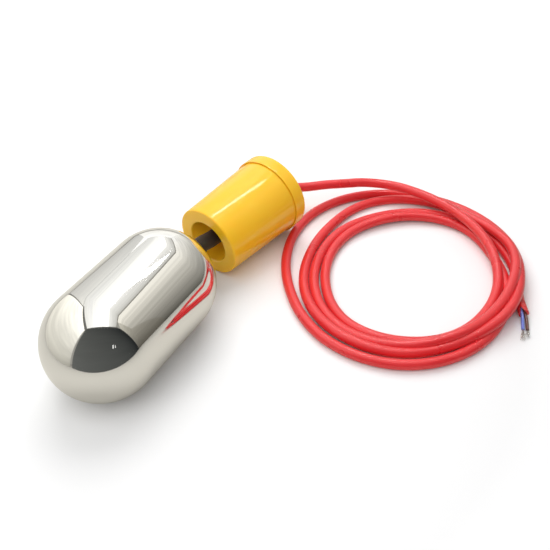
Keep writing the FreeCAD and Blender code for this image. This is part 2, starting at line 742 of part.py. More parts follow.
def cable_boot():
    """The rubber boot: a collar in the boss and a sleeve that follows the cable into the mouth."""
    edges = run_edges()
    start = switch_place.multVec(Vector((s.thread_depth - s.collar_thick).value, 0, 0))
    bent, straight = edges[-2], edges[-1]
    last = bent.valueAt(bent.LastParameter)
    end = last + straight.tangentAt(straight.FirstParameter) * s.boot_lip.value
    edges[0] = Part.LineSegment(start, edges[1].valueAt(edges[1].FirstParameter)).toShape()
    edges[-1] = Part.LineSegment(last, end).toShape()
    outer = pipe(edges, s.boot_radius.value, "cable_boot")
    bore = pipe(edges, (s.cable_radius + s.cable_gap).value, "cable_boot bore")
    collar = Part.makeCylinder((s.thread_radius - s.thread_gap).value,
                               (s.collar_thick - s.washer_gap).value, start, Vector(1, 0, 0))
    keep(solid_feature("cable_boot", outer.fuse(collar).cut(bore).removeSplitter()))


def lead_points():
    """The free cable's route from the counterweight down to the coil."""
    straight = 9.5
    return [on_cable(weight_end), on_cable(weight_end + straight)] + list(LEAD_POINTS)


def free_cable():
    """The free cable: its lead, its short tail, and the slit end of the jacket."""
    keep(solid_feature("cable_lead", tube(lead_points(), s.cable_radius.value, "cable_lead")))
    tail = tube(TAIL_POINTS, s.cable_radius.value, "cable_tail")
    end, before = Vector(*TAIL_POINTS[-1]), Vector(*TAIL_POINTS[-2])
    back = (before - end).normalize()
    frame = FreeCAD.Placement(end, FreeCAD.Rotation(Vector(1, 0, 0), back))
    slot = Part.makeBox(s.slit_length.value, s.cable_radius.value * 4, s.slit_width.value,
                        Vector(-1, -s.cable_radius.value * 2, -s.slit_width.value / 2))
    slot.Placement = frame
    keep(solid_feature("cable_tail", tail.cut(slot)))


def ring_wire(reaches, height, inset):
    """A closed smooth outline about the coil's centre."""
    points = []
    for number, reach in enumerate(reaches):
        angle = math.radians(360 / len(reaches) * number)
        points.append(Vector(COIL_CENTRE[0] + (reach - inset) * math.cos(angle),
                             COIL_CENTRE[1] + (reach - inset) * math.sin(angle), height))
    curve = Part.BSplineCurve()
    curve.interpolate(Points=points, PeriodicFlag=True)
    return Part.Wire(curve.toShape())


def cable_coil():
    """The outer shape of the coiled cable: one closed ring, lower along its outside."""
    radius = s.cable_radius.value
    heights = ((0.0, radius / 2), (radius, 0.0), (s.coil_height.value, s.coil_shoulder.value))
    outer = Part.makeLoft([ring_wire(COIL_OUTER, z, inset) for z, inset in heights], True, True)
    inner = Part.makeLoft([ring_wire(COIL_INNER, z, 0.0) for z in (-1.0, s.coil_height.value + 1.0)],
                          True, True)
    keep(solid_feature("cable_coil", outer.cut(inner)))


def stripped_end():
    """The two stripped cores and their twisted, tinned strands."""
    for name, points, tip in (("blue", BLUE_POINTS, BLUE_TIP_POINTS),
                              ("brown", BROWN_POINTS, BROWN_TIP_POINTS)):
        core = tube(points, s.core_radius.value, f"{name}_core")
        keep(solid_feature(f"{name}_core", core))
        strands = tube(tip, s.strand_radius.value, f"{name}_strands")
        keep(solid_feature(f"{name}_strands", strands))


def inner_cores():
    """The two cores inside the float, from the cable's end to two of the terminals."""
    start, lead, back = -s.cable_inside.value, s.core_lead.value, s.core_back.value
    side, bow, thin = s.core_side.value, s.core_bow.value, s.core_radius.value / 2
    rise, high = s.pivot_z.value / 2, s.pivot_z.value + bow
    level = ((case_top + terminal_top) / 2).value
    near, far = [(x + s.terminal_thick / 2).value for x in terminal_places()[:2]]
    turn, below = start - back - bow, level - thin * 2
    blue = ((start, side, 0.0), (start - lead, side + thin / 2, thin), (start - back, side * 1.7, rise),
            (start - back + thin, side * 1.8, high), (turn, side * 1.4, below),
            (near + lead, side * 0.8, level + thin / 3), (near, side * 0.7, level))
    brown = ((start, -side, 0.0), (start - lead, -side - thin / 2, thin), (start - back, -side * 2, rise),
             (start - back + thin, -side - bow, high), (turn, -side - bow * 1.4, below),
             (near + lead, -side - bow * 1.5, level + thin / 2),
             (near - bow / 2, -side - bow * 1.2, level),
             (far + lead * 0.65, -side * 0.8, level), (far, -side * 0.7, level))
    for name, points in (("blue_inner_core", blue), ("brown_inner_core", brown)):
        keep(solid_feature(name, tube(points, s.core_radius.value, name)), switch_place)


# ---------------------------------------------------------------- build, test and write

def build():
    """Make every sub-part."""
    for make in (float_nose_shell, float_tail_shell, neck_boss, clamp_washer, gland_nut,
                 switch_carrier, ball_buffer, carrier_screws, switch_case, switch_cover,
                 switch_screws, terminals, lever_pin, inner_cores, cable_boot, cable_run,
                 free_cable, cable_coil, stripped_end, steel_ball, switch_lever, switch_plunger,
                 cable_grip, counterweight_shell, ballast_slug, counterweight_cap):
        make()
    doc.recompute()


def check():
    """Stop if any object failed or any sub-part has no valid shape."""
    for item in doc.Objects:
        if "Invalid" in item.State or "Error" in item.State:
            raise RuntimeError(f"{item.Name} failed: {item.State}")
    for item in parts:
        if item.Shape.isNull() or not item.Shape.isValid() or item.Shape.Volume <= 0:
            raise RuntimeError(f"{item.Label} has no valid solid")


def write():
    """Write each sub-part to its own STEP file."""
    os.makedirs("parts", exist_ok=True)
    for item in parts:
        item.Shape.exportStep(f"parts/{item.Label}.step")
        print(f"{item.Label}: {item.Shape.Volume:.1f} mm3, {len(item.Shape.Solids)} solid")


build()
check()
write()
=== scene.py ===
"""Dresses the float level switch: a polished steel float, its boot, the counterweight and the cable.

Every length is in metres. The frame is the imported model's: +X along the float from nose to tail, +Y to
its left, +Z up from the table.
"""

import logging
import math
from dataclasses import dataclass
from enum import Enum

import bpy
from mathutils import Matrix, Vector


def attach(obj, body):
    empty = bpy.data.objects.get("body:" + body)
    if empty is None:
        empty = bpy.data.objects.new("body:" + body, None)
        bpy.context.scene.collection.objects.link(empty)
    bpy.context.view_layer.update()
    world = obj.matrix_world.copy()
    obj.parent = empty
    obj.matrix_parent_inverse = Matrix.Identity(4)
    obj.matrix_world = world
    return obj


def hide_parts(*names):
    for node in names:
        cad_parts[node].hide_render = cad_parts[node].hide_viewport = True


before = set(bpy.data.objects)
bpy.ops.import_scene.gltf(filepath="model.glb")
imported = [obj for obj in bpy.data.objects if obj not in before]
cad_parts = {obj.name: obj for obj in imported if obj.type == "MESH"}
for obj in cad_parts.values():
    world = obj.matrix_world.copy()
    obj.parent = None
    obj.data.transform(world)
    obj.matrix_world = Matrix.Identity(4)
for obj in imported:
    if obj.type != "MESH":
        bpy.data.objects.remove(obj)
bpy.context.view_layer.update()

log = logging.getLogger("float_level_switch")

Point = tuple[float, float, float]
Flat = tuple[float, float]
Colour = tuple[float, float, float, float]
Settings = dict[str, object]
Material = bpy.types.Material
Node = bpy.types.Node
Piece = bpy.types.Object
Socket = bpy.types.NodeSocket
MM = 0.001
WELD = 2e-6  # how near two vertices of one turned or swept skin are joined
RGBA: Settings = {"data_type": "RGBA"}


class Body(Enum):
    """The rigid bodies that the pieces ride on."""

    FLOAT = "float"
    GRIP = "grip"
    WEIGHT = "counterweight"


class Slot(Enum):
    """The record's material slots; no piece here is given one."""

    STEEL = "mirror_steel"
    RUBBER = "black_rubber"
    PLASTIC = "yellow_plastic"
    RED = "red_silicone"
    BLUE = "blue_silicone"
    BROWN = "brown_silicone"
    TINNED = "tinned_copper"


# ---------------------------------------------------------------- colours and nodes

def linear(code: str) -> Colour:
    """Turn an sRGB hex colour into Blender's linear colour.

    Args:
        code: Six hex digits, such as "ff8800".

    Returns:
        Red, green, blue and an alpha of 1.
    """
    parts = [int(code[i:i + 2], 16) / 255 for i in (0, 2, 4)]
    red, green, blue = [c / 12.92 if c <= 0.04045 else ((c + 0.055) / 1.055) ** 2.4 for c in parts]
    return (red, green, blue, 1.0)


class Nodes:
    """The node tree of one material or of the world."""

    def __init__(self, owner: bpy.types.ID) -> None:
        """Start an empty tree on its owner."""
        owner.use_nodes = True
        self.tree = owner.node_tree
        self.tree.nodes.clear()

    def add(self, kind: str, settings: Settings | None = None, **inputs: object) -> Node:
        """Add a node, set it up and link it.

        Args:
            kind: The node's type name, such as "ShaderNodeTexNoise".
            settings: Attributes of the node itself.
            inputs: Socket names, with _ for a space, or i and the socket's number, each with a value, an
                output socket to link, or a node that stands for its first output in use.

        Returns:
            The new node.
        """
        node = self.tree.nodes.new(kind)
        for name, value in (settings or {}).items():
            setattr(node, name, value)
        for name, value in inputs.items():
            key = int(name[1:]) if name[0] == "i" and name[1:].isdigit() else name.replace("_", " ")
            socket = node.inputs[key]
            if isinstance(value, Node):
                value = next(output for output in value.outputs if output.enabled)
            if isinstance(value, Socket):
                self.tree.links.new(value, socket)
            else:
                socket.default_value = value
        return node


def cells_per_metre(size_mm: float) -> float:
    """The scale of a noise whose cells are this many millimetres across."""
    return 1000.0 / size_mm


# ---------------------------------------------------------------- finishes

class Finish:
    """A material named for what the real one is and how its surface was made, round a shader of its own."""

    name: str

    def shader(self, nodes: Nodes, place: Socket) -> Node:
        """Build the shader.

        Args:
            nodes: The material's nodes.
            place: The place on the piece, in metres.

        Returns:
            The shader's node.
        """
        raise NotImplementedError

    def material(self) -> Material:
        """The finish's material, built the first time that a piece asks for it."""
        made = bpy.data.materials.get(self.name)
        if made is None:
            made = bpy.data.materials.new(self.name)
            nodes = Nodes(made)
            shade = self.shader(nodes, nodes.add("ShaderNodeTexCoord").outputs["Object"])
            nodes.add("ShaderNodeOutputMaterial", Surface=shade)
        return made


@dataclass(frozen=True)
class MirrorSteel(Finish):
    """Deep-drawn stainless steel, buffed to a mirror.

    The drawing leaves the wall very slightly wavy, so that straight reflections wander. The buffing leaves
    a haze in faint cloudy patches.

    Attributes:
        name: What the metal is and how it was finished.
        colour: Its reflected colour.
        rough: Its mean roughness.
        wave_mm: How far apart the waves of the wall are.
        wave_height: How deep they are, in metres.
        haze_mm: The size of the cloudy patches.
    """

    name: str = "deep-drawn stainless steel, mirror buffed"
    colour: str = "e9e8e4"
    rough: float = 0.045
    wave_mm: float = 26.0
    wave_height: float = 0.00005
    haze_mm: float = 9.0

    def shader(self, nodes: Nodes, place: Socket) -> Node:
        """Build the shader."""
        wave = nodes.add("ShaderNodeTexNoise", Vector=place, Scale=cells_per_metre(self.wave_mm),
                         Detail=1.0, Roughness=0.4)
        haze = nodes.add("ShaderNodeTexNoise", Vector=place, Scale=cells_per_metre(self.haze_mm), Detail=4.0)
        rough = nodes.add("ShaderNodeMapRange", Value=haze, From_Min=0.35, From_Max=0.7,
                          To_Min=self.rough * 0.7, To_Max=self.rough * 1.5)
        bump = nodes.add("ShaderNodeBump", Height=wave, Strength=1.0, Distance=self.wave_height)
        return nodes.add("ShaderNodeBsdfPrincipled", Base_Color=linear(self.colour), Metallic=1.0,
                         Roughness=rough, Normal=bump)


@dataclass(frozen=True)
class TurnedMetal(Finish):
    """Metal turned on a lathe: fine rings about the float's axis break up the gloss.

    Attributes:
        name: What the metal is and how it was cut.
        colour: Its reflected colour.
        rough: Its mean roughness.
        ring_mm: The feed of the tool, drawn four times coarser than real so that it shows.
    """

    name: str
    colour: str
    rough: float = 0.28
    ring_mm: float = 0.4

    def shader(self, nodes: Nodes, place: Socket) -> Node:
        """Build the shader."""
        rings = nodes.add("ShaderNodeTexWave", {"wave_type": "BANDS", "bands_direction": "X"}, Vector=place,
                          Scale=cells_per_metre(self.ring_mm) / 20, Distortion=0.6, Detail=1.0)
        rough = nodes.add("ShaderNodeMapRange", Value=rings.outputs["Fac"], To_Min=self.rough * 0.7,
                          To_Max=self.rough * 1.3)
        bump = nodes.add("ShaderNodeBump", Height=rings.outputs["Fac"], Strength=0.4, Distance=0.00003)
        return nodes.add("ShaderNodeBsdfPrincipled", Base_Color=linear(self.colour), Metallic=1.0,
                         Roughness=rough, Normal=bump)


@dataclass(frozen=True)
class CastIron(Finish):
    """Sand-cast grey iron: a dull, grainy skin with rusty-brown clouds in it.

    Attributes:
        name: What the metal is and how it was made.
        colour: The iron's colour.
        stain: The colour of the clouds.
        grain_mm: The size of the sand's grain.
    """

    name: str = "sand-cast grey iron"
    colour: str = "4c4a48"
    stain: str = "5b4a40"
    grain_mm: float = 0.9

    def shader(self, nodes: Nodes, place: Socket) -> Node:
        """Build the shader."""
        grain = nodes.add("ShaderNodeTexNoise", Vector=place, Scale=cells_per_metre(self.grain_mm),
                          Detail=6.0)
        cloud = nodes.add("ShaderNodeTexNoise", Vector=place, Scale=cells_per_metre(self.grain_mm * 12))
        skin = nodes.add("ShaderNodeMix", RGBA, i0=cloud,
                         i6=linear(self.colour), i7=linear(self.stain))
        bump = nodes.add("ShaderNodeBump", Height=grain, Strength=0.8, Distance=0.0003)
        return nodes.add("ShaderNodeBsdfPrincipled", Base_Color=skin, Metallic=0.6, Roughness=0.7,
                         Normal=bump)


@dataclass(frozen=True)
class MouldedPlastic(Finish):
    """Injection-moulded plastic with a gloss skin.

    The skin has the faint ripple of a polished mould, and its pigment is a little uneven, as flow in the
    mould leaves it. Light goes a short way in, which keeps the shaded side warm.

    Attributes:
        name: What the plastic is.
        colour: The pigment.
        deep: The pigment where it is slightly denser.
        rough: The skin's roughness.
        depth: How far light spreads inside, in metres; 0 for an opaque plastic.
        ripple_mm: The ripple's size, drawn twice as coarse as real.
        reach: How far red, green and blue go inside, as shares of the depth.
    """

    name: str
    colour: str
    deep: str
    rough: float = 0.25
    depth: float = 0.0
    ripple_mm: float = 3.0
    reach: Point = (1.0, 0.45, 0.1)

    def shader(self, nodes: Nodes, place: Socket) -> Node:
        """Build the shader."""
        flow = nodes.add("ShaderNodeTexNoise", Vector=place, Scale=cells_per_metre(self.ripple_mm * 8),
                         Detail=2.0)
        pigment = nodes.add("ShaderNodeMix", RGBA, i0=flow,
                            i6=linear(self.colour), i7=linear(self.deep))
        ripple = nodes.add("ShaderNodeTexNoise", Vector=place, Scale=cells_per_metre(self.ripple_mm),
                           Detail=2.0)
        rough = nodes.add("ShaderNodeMapRange", Value=ripple, From_Min=0.3, From_Max=0.7,
                          To_Min=self.rough * 0.85, To_Max=self.rough * 1.2)
        bump = nodes.add("ShaderNodeBump", Height=ripple, Strength=0.3, Distance=0.00003)
        return nodes.add("ShaderNodeBsdfPrincipled", Base_Color=pigment,
                         Roughness=rough, Normal=bump, IOR=1.5,
                         Subsurface_Weight=0.25 if self.depth else 0.0,
                         Subsurface_Radius=self.reach, Subsurface_Scale=max(self.depth, MM))


@dataclass(frozen=True)
class Silicone(Finish):
    """Extruded silicone rubber: a satin skin that light sinks into, with a dusting of fine specks.

    Attributes:
        name: What it covers.
        colour: The rubber's colour.
        rough: The skin's roughness.
        speck_mm: The size of the dust specks, drawn coarser than real.
        depth: How far light spreads inside, in metres.
        reach: How far red, green and blue go inside, as shares of the depth.
    """

    name: str
    colour: str
    rough: float = 0.30
    speck_mm: float = 0.7
    depth: float = 1.5 * MM
    reach: Point = (1.0, 0.2, 0.15)

    def shader(self, nodes: Nodes, place: Socket) -> Node:
        """Build the shader."""
        speck = nodes.add("ShaderNodeTexNoise", Vector=place, Scale=cells_per_metre(self.speck_mm),
                          Detail=3.0)
        cloud = nodes.add("ShaderNodeTexNoise", Vector=place, Scale=cells_per_metre(self.speck_mm * 30))
        rough = nodes.add("ShaderNodeMapRange", Value=cloud, From_Min=0.3, From_Max=0.7,
                          To_Min=self.rough * 0.85, To_Max=self.rough * 1.25)
        bump = nodes.add("ShaderNodeBump", Height=speck, Strength=0.35, Distance=0.00005)
        fade = nodes.add("ShaderNodeMapRange", Value=cloud, To_Min=0.93, To_Max=1.07)
        tint = nodes.add("ShaderNodeHueSaturation", Color=linear(self.colour), Value=fade)
        return nodes.add("ShaderNodeBsdfPrincipled", Base_Color=tint,
                         Roughness=rough, Normal=bump, IOR=1.43,
                         Specular_IOR_Level=1.0, Subsurface_Weight=0.2, Subsurface_Radius=self.reach,
                         Subsurface_Scale=self.depth, Sheen_Weight=0.12, Sheen_Roughness=0.4)


@dataclass(frozen=True)
class BlackRubber(Finish):
    """Moulded neoprene: nearly black, with a fine matt grain and a dull sheen at its edges.

    Attributes:
        name: What the rubber is.
        colour: Its colour.
        rough: Its mean roughness.
        grain_mm: The size of the grain, drawn coarser than real.
    """

    name: str = "moulded neoprene"
    colour: str = "151214"
    rough: float = 0.5
    grain_mm: float = 0.5

    def shader(self, nodes: Nodes, place: Socket) -> Node:
        """Build the shader."""
        grain = nodes.add("ShaderNodeTexNoise", Vector=place, Scale=cells_per_metre(self.grain_mm),
                          Detail=4.0)
        rough = nodes.add("ShaderNodeMapRange", Value=grain, To_Min=self.rough * 0.8,
                          To_Max=self.rough * 1.2)
        bump = nodes.add("ShaderNodeBump", Height=grain, Strength=0.5, Distance=0.00008)
        return nodes.add("ShaderNodeBsdfPrincipled", Base_Color=linear(self.colour),
                         Roughness=rough, Normal=bump,
                         Sheen_Weight=0.1, Sheen_Roughness=0.5)


STEEL = MirrorSteel()
CUT_STEEL = TurnedMetal("turned stainless steel", "c4c2bd")
GROUND_STEEL = TurnedMetal("ground bearing steel", "cfcfcf", 0.12, 0.2)
BRASS = TurnedMetal("rolled brass", "d2ae5e", 0.3)
TINNED = TurnedMetal("tinned copper wire, soldered bright", "d3d1cc", 0.25, 0.3)
IRON = CastIron()
YELLOW = MouldedPlastic("moulded yellow polypropylene", "ffc92e", "ffc022", 0.13, 2.5 * MM)
GREY = MouldedPlastic("moulded grey nylon", "8d9092", "84878a", 0.4)
BLACK = MouldedPlastic("moulded black phenolic", "1c1c1e", "222224", 0.35)
WHITE = MouldedPlastic("moulded white acetal", "e8e6df", "dfdcd2", 0.3, 1.0 * MM)
RED = Silicone("extruded red silicone jacket", "e3252b")
BLUE = Silicone("extruded blue silicone core", "7386dc")
BROWN = Silicone("extruded brown silicone core", "6b4038")
RUBBER = BlackRubber()


# ---------------------------------------------------------------- modelling helpers

def deselect() -> None:
    """Leave edit mode and select nothing."""
    if bpy.context.mode != "OBJECT":
        bpy.ops.object.mode_set(mode="OBJECT")
    bpy.ops.object.select_all(action="DESELECT")


def only(item: Piece) -> None:
    """Select one object and make it active."""
    deselect()
    item.select_set(True)
    bpy.context.view_layer.objects.active = item


def settle(item: Piece, place: Matrix) -> None:
    """Move a piece to its place and put that place into its mesh."""
    item.matrix_world = place
    only(item)
    bpy.ops.object.transform_apply(location=True, rotation=True, scale=True)


def arc(centre: float, radius: float, first: float, last: float, count: int) -> list[Flat]:
    """Points of an arc about a centre on the axis.

    Args:
        centre: Where the centre is along the axis.
        radius: The arc's radius.
        first: The first point's angle from the axis, in degrees.
        last: The last point's angle.
        count: How many steps to take.

    Returns:
        (along, radius) points.
    """
    angles = [math.radians(first + (last - first) * k / count) for k in range(count + 1)]
    return [(centre + radius * math.cos(a), max(radius * math.sin(a), 0.0)) for a in angles]


def eased(corners: list[Point], steps: int = 6) -> list[Flat]:
    """Round the corners of a profile.

    Args:
        corners: (along, radius, ease) for each corner; ease is how far from it the rounding starts.
        steps: Steps round each corner.

    Returns:
        (along, radius) points.
    """
    points: list[Flat] = []
    for before, corner, after in zip([corners[-1], *corners], corners, [*corners[1:], corners[0]]):
        here, ease = Vector(corner[:2]), corner[2]
        if ease == 0.0:
            points.append(tuple(here))
            continue
        start = here + (Vector(before[:2]) - here).normalized() * ease
        end = here + (Vector(after[:2]) - here).normalized() * ease
        for k in range(steps + 1):
            t = k / steps
            points.append(tuple(start * (1 - t) ** 2 + here * 2 * t * (1 - t) + end * t * t))
    return points


def turned(name: str, profile: list[Flat], steps: int, crease: float = 32.0) -> Piece:
    """Turn a profile about the X axis.

    Args:
        name: The piece's name.
        profile: (along, radius) points, in order; a ring's profile ends on its first point.
        steps: Steps round the axis.
        crease: The angle above which an edge stays sharp, in degrees.

    Returns:
        The piece, about the X axis, with its normals outward.
    """
    deselect()
    along, radius = profile[0]
    bpy.ops.mesh.primitive_plane_add(size=0.001, location=(along, 0.0, radius))
    item = bpy.context.active_object
    item.name = name
    bpy.ops.object.mode_set(mode="EDIT")
    bpy.ops.mesh.select_mode(type="VERT")
    bpy.ops.mesh.select_all(action="SELECT")
    bpy.ops.mesh.merge(type="CENTER")
    for (x0, r0), (x1, r1) in zip(profile, profile[1:]):
        bpy.ops.mesh.extrude_region_move(TRANSFORM_OT_translate={"value": (x1 - x0, 0.0, r1 - r0)})
    bpy.ops.mesh.select_all(action="SELECT")
    bpy.ops.mesh.spin(steps=steps, angle=math.tau, center=(0.0, 0.0, 0.0), axis=(1.0, 0.0, 0.0))
    bpy.ops.mesh.select_all(action="SELECT")
    bpy.ops.mesh.remove_doubles(threshold=WELD)
    bpy.ops.mesh.normals_make_consistent(inside=False)
    bpy.ops.object.mode_set(mode="OBJECT")
    bpy.ops.object.shade_smooth_by_angle(angle=math.radians(crease))
    settle(item, item.matrix_world.copy())
    return item


def line(name: str, routes: list[list[Vector]], radius: float, rings: int = 8, steps: int = 6) -> Piece:
    """Draw round cords, each along one open NURBS spline.

    Args:
        name: The piece's name.
        routes: The control points of each cord.
        radius: Their radius.
        rings: How finely their section is drawn.
        steps: How finely they are drawn between two control points.

    Returns:
        The curve object.
    """
    curve = bpy.data.curves.new(name, "CURVE")
    curve.dimensions = "3D"
    curve.bevel_depth = radius
    curve.bevel_resolution = rings
    curve.resolution_u = steps
    curve.use_fill_caps = True
    for points in routes:
        spline = curve.splines.new("NURBS")
        spline.points.add(len(points) - 1)
        for held, point in zip(spline.points, points):
            held.co = (*point, 1.0)
        spline.order_u = 3
        spline.use_endpoint_u = True
    item = bpy.data.objects.new(name, curve)
    bpy.context.scene.collection.objects.link(item)
    return item


def paint(item: Piece, finish: Finish) -> None:
    """Give a piece its finish and no other."""
    item.data.materials.clear()
    item.data.materials.append(finish.material())


def dress(item: Piece, body: Body, finish: Finish) -> None:
    """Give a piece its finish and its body."""
    paint(item, finish)
    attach(item, body.value)
    log.info("made %s on %s", item.name, body.value)


# ---------------------------------------------------------------- the float

@dataclass(frozen=True)
class Float:
    """The polished capsule: two drawn halves welded and buffed into one skin.

    Attributes:
        tail: The centre of the tail's dome.
        radius: The outside radius.
        barrel: The length between the domes' centres.
        wall: The wall's thickness.
        neck: The radius of the hole for the neck boss.
        steps: Steps round the axis.
    """

    tail: Point = (-0.0210, 0.0016, 0.0350)
    radius: float = 0.035
    barrel: float = 0.0567
    wall: float = 0.0008
    neck: float = 0.0080
    steps: int = 160

    def build(self) -> None:
        """Make the skin, closed round its wall and open at the neck."""
        inside = self.radius - self.wall
        outer_neck = math.degrees(math.asin(self.neck / self.radius))
        inner_neck = math.degrees(math.asin(self.neck / inside))
        profile = (arc(-self.barrel, self.radius, 180, 90, 40) + arc(0.0, self.radius, 90, outer_neck, 36)
                   + arc(0.0, inside, inner_neck, 90, 14) + arc(-self.barrel, inside, 90, 180, 14))
        skin = turned("float_skin", profile, self.steps)
        settle(skin, Matrix.Translation(self.tail))
        dress(skin, Body.FLOAT, STEEL)
        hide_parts("float_nose_shell", "float_tail_shell")


# ---------------------------------------------------------------- the counterweight

@dataclass(frozen=True)
class Counterweight:
    """The tapered yellow weight, its flanged cap and the rubber grip in the cap.

    Attributes:
        face: The middle of the narrow face.
        yaw: The axis's turn about the vertical, in degrees.
        narrow: The radius at the narrow face.
        wide: The radius where the cap starts.
        length: The tapered shell's length.
        rim: The cap's radius.
        rim_length: The cap's length.
        wall: The shell's thickness.
        front: How far behind the face the wall goes back to the shell's own thickness.
        mouth: The mouth's radius at the face.
        mouth_floor: Its radius at its floor.
        mouth_depth: The depth of that floor.
        cone: The length of the cone from that floor to the bore.
        bore: The cable hole's radius.
        tube: The outside radius of the tube round the cable hole.
        spigot: How far the cap reaches into the shell.
        boss: The radius of the boss in the cap that holds the grip.
        groove: The width of the fine groove between the shell and the cap's flange.
        grip: The radius of the rubber grip's neck.
        grip_head: The radius of its head.
        head_length: The head's length.
        step: The depth of the recess that the head sits in.
        grip_bore: The radius of the hole in the grip, tight on the cable.
        steps: Steps round the axis.
    """

    face: Point = (0.0369, 0.0052, 0.0254)
    yaw: float = -10.6
    narrow: float = 25.45 * MM
    wide: float = 28.2 * MM
    length: float = 61.6 * MM
    rim: float = 29.3 * MM
    rim_length: float = 10.1 * MM
    wall: float = 2.6 * MM
    front: float = 3.5 * MM
    mouth: float = 15.7 * MM
    mouth_floor: float = 13.2 * MM
    mouth_depth: float = 22.0 * MM
    cone: float = 4.5 * MM
    bore: float = 3.9 * MM
    tube: float = 6.0 * MM
    spigot: float = 8.0 * MM
    boss: float = 12.0 * MM
    groove: float = 0.9 * MM
    grip: float = 7.0 * MM
    grip_head: float = 9.0 * MM
    head_length: float = 3.1 * MM
    step: float = 4.0 * MM
    grip_bore: float = 3.55 * MM
    steps: int = 128

    @property
    def end(self) -> float:
        """Where the cap ends along the axis."""
        return self.length + self.rim_length

    @property
    def rise(self) -> float:
        """The axis's angle above the table, on which both rims rest."""
        return math.atan2(self.rim - self.narrow, self.length)

    def axis(self) -> Vector:
        """The direction of the axis, from the narrow face to the cap."""
        turn, rise = math.radians(self.yaw), self.rise
        return Vector((math.cos(rise) * math.cos(turn), math.cos(rise) * math.sin(turn), math.sin(rise)))

    def on_axis(self, distance: float) -> Vector:
        """A point of the axis at a distance from the narrow face."""
        return Vector(self.face) + self.axis() * distance

    def piece(self, name: str, corners: list[Point], steps: int) -> Piece:
        """Turn one of the weight's pieces and put it in its place.

        Args:
            name: The piece's name.
            corners: Its closed profile, as (along, radius, ease) corners.
            steps: Steps round the axis.

        Returns:
            The piece.
        """
        profile = eased(corners)
        made = turned(name, [*profile, profile[0]], steps)
        settle(made, Matrix.Translation(self.face) @ Matrix.Rotation(math.radians(self.yaw), 4, "Z")
               @ Matrix.Rotation(-self.rise, 4, "Y"))
        return made

    def shell(self) -> None:
        """Make the tapered shell with its flared mouth and its cable tube."""
        end, back, tube_end = self.length, self.mouth_depth + self.cone, self.length - 0.5 * MM
        corners = [(0.0, self.mouth, 1.3 * MM), (0.0, self.narrow, 1.2 * MM),
                   (end, self.wide, 0.3 * MM), (end, self.wide - self.wall, 0.2 * MM),
                   (self.front, self.narrow - self.wall, 0.6 * MM),
                   (self.front, self.mouth + self.wall, 0.6 * MM),
                   (self.mouth_depth, self.mouth_floor + self.wall, 0.6 * MM),
                   (back + self.wall, self.tube, 0.5 * MM), (tube_end, self.tube, 0.0),
                   (tube_end, self.bore, 0.0), (back, self.bore, 0.4 * MM),
                   (self.mouth_depth, self.mouth_floor, 1.5 * MM)]
        shell = self.piece("weight_shell", corners, self.steps)
        dress(shell, Body.WEIGHT, YELLOW)
        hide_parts("counterweight_shell")

    def cap(self) -> None:
        """Make the flanged cap, its spigot, its shallow dished face and the recess round the cable."""
        start, end, dish, inner = self.length, self.end, self.end - 0.5 * MM, self.end - self.wall
        spigot, spigot_end = self.wide - self.wall - 0.5 * MM, self.length - self.spigot
        hole, room = self.grip + 0.05 * MM, self.grip_head + 0.3 * MM
        corners = [(start, spigot, 0.0), (start, self.wide + 0.1 * MM, 0.0),
                   (start + self.groove, self.wide - 0.3 * MM, 0.0),
                   (start + self.groove, self.wide + 0.35 * MM, 0.0),
                   (start + 0.1 * MM, self.wide + 0.6 * MM, 0.2 * MM),
                   (start + 0.05 * MM, self.rim, 0.45 * MM), (end, self.rim, 1.3 * MM),
                   (end, self.rim - 3.2 * MM, 0.2 * MM), (dish, self.rim - 3.7 * MM, 0.3 * MM),
                   (dish, hole + 3.2 * MM, 0.3 * MM), (end, hole + 2.7 * MM, 0.3 * MM), (end, hole, 0.5 * MM),
                   (start + self.step, hole, 0.0), (start + self.step, room, 0.0),
                   (start + 0.1 * MM, room, 0.0), (start + 0.1 * MM, self.boss, 0.0),
                   (inner, self.boss, 0.5 * MM), (inner, spigot - self.wall, 0.5 * MM),
                   (spigot_end, spigot - self.wall, 0.3 * MM), (spigot_end, spigot, 0.5 * MM)]
        cap = self.piece("weight_cap", corners, self.steps)
        dress(cap, Body.WEIGHT, YELLOW)
        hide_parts("counterweight_cap")

    def rubber_grip(self) -> None:
        """Make the headed rubber grip that holds the cable in the cap and stands a little proud of it."""
        end, head = self.end + 0.8 * MM, self.length + self.step - 0.3 * MM
        back = head - self.head_length
        corners = [(back, self.grip_bore, 0.0), (back, self.grip_head, 0.6 * MM),
                   (head, self.grip_head, 0.4 * MM), (head, self.grip, 0.0), (end, self.grip, 0.6 * MM),
                   (end, self.grip_bore + 0.2 * MM, 0.15 * MM), (end - 0.5 * MM, self.grip_bore, 0.0)]
        grip = self.piece("rubber_grip", corners, self.steps // 2)
        dress(grip, Body.GRIP, RUBBER)
        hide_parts("cable_grip")

    def build(self) -> None:
        """Make the weight's three pieces."""
        self.shell()
        self.cap()
        self.rubber_grip()


# ---------------------------------------------------------------- boot and cable

